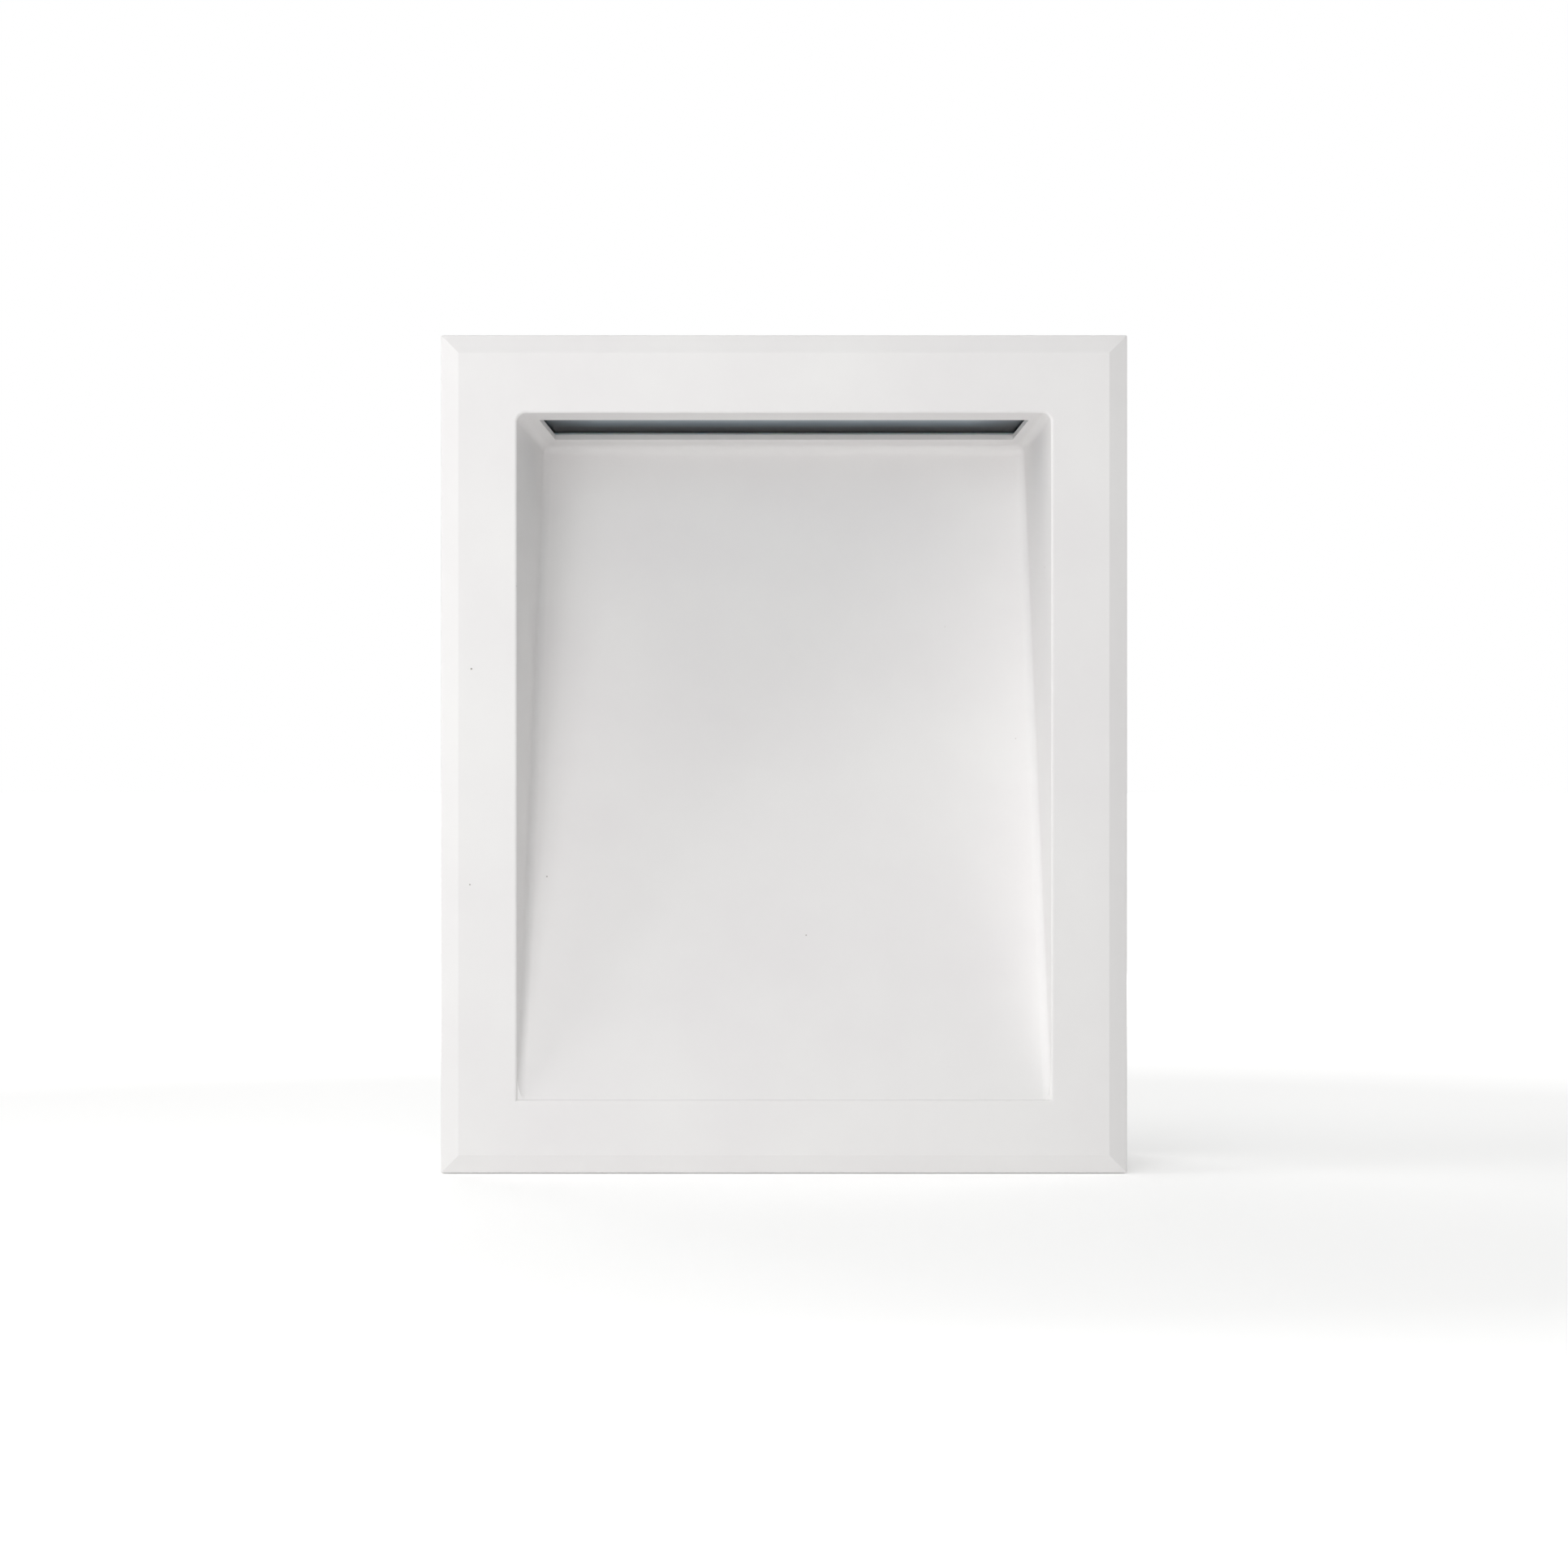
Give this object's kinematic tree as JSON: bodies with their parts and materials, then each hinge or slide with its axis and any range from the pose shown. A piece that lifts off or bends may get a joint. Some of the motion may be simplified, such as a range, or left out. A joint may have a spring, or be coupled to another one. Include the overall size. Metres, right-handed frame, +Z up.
{
  "type": "shadow box",
  "caption": "Lit open-fronted shadow box with a sloping back, a lamp window in its ceiling, a battery door and a rocker switch at the rear.",
  "frame": {"origin": "middle of the base, on the surface that the box stands on", "axes": "-Y is the open front, +X is right as seen from the front, +Z is up"},
  "size_m": [0.2286, 0.095, 0.2794],
  "materials": {
    "cast_white": "matte cast mineral composite",
    "smoked_glass": "polished, ground edges",
    "clear_silicone": "translucent silicone",
    "black_aluminium": "black anodised",
    "black_plastic": "moulded, matte",
    "cover_plastic": "moulded, fine spark texture",
    "white_plastic": "moulded nylon",
    "board_white": "white solder mask",
    "board_green": "green solder mask",
    "lamp_chip": "yellow phosphor under silicone",
    "tape_grey": "thermal tape",
    "brass": "turned and knurled",
    "zinc_steel": "zinc-plated",
    "black_steel": "black oxide",
    "nickel": "nickel-plated",
    "cell_jacket": "printed-film jacket, plain",
    "inductor_black": "ferrite",
    "can_metal": "drawn can",
    "red_wire": "PVC sheath",
    "black_wire": "PVC sheath",
    "grey_wire": "PVC sheath",
    "pad_rubber": "soft rubber",
    "pad_foam": "closed-cell foam"
  },
  "bodies": {
    "case": {"base_pads": "pad_rubber", "battery_cells": "cell_jacket", "battery_holder": "black_plastic", "battery_lead_black": "black_wire", "battery_lead_red": "red_wire", "board_screws": "zinc_steel", "cable_clips": "white_plastic", "cell_contacts": "nickel", "cell_springs": "nickel", "cover_inserts": "brass", "cover_screws": "black_steel", "door_magnets": "nickel", "driver_board": "board_green", "driver_capacitors": "can_metal", "driver_chips": "black_plastic", "driver_inductor": "inductor_black", "front_shell": "cast_white", "glare_baffle": "black_plastic", "glass_pad": "pad_foam", "hinge_pin": "nickel", "holder_screws": "black_steel", "keyhole_plates": "zinc_steel", "lamp_end_caps": "black_plastic", "lamp_leads": "grey_wire", "lamp_tray": "black_aluminium", "led_board": "board_white", "led_chips": "lamp_chip", "led_connector": "white_plastic", "plate_screws": "zinc_steel", "rear_cover": "cover_plastic", "switch_housing": "black_plastic", "switch_lead": "red_wire", "switch_terminals": "brass", "thermal_tape": "tape_grey", "tray_inserts": "brass", "tray_screws": "zinc_steel", "window_gasket": "clear_silicone", "window_glass": "smoked_glass", "wire_connectors": "white_plastic"},
    "door": {"battery_door": "cover_plastic", "door_keepers": "zinc_steel"},
    "rocker": {"switch_rocker": "black_plastic"}
  },
  "joints": [
    {"name": "door_hinge", "type": "hinge", "parent": "case", "child": "door", "pos_m": [-0.0388, 0.0451, 0.07], "axis": [0, 0, 1], "range_deg": [0, 100]},
    {"name": "rocker_pivot", "type": "hinge", "parent": "case", "child": "rocker", "pos_m": [0.07915, 0.0411, 0.07], "axis": [1, 0, 0], "range_deg": [0, 14]}
  ]
}
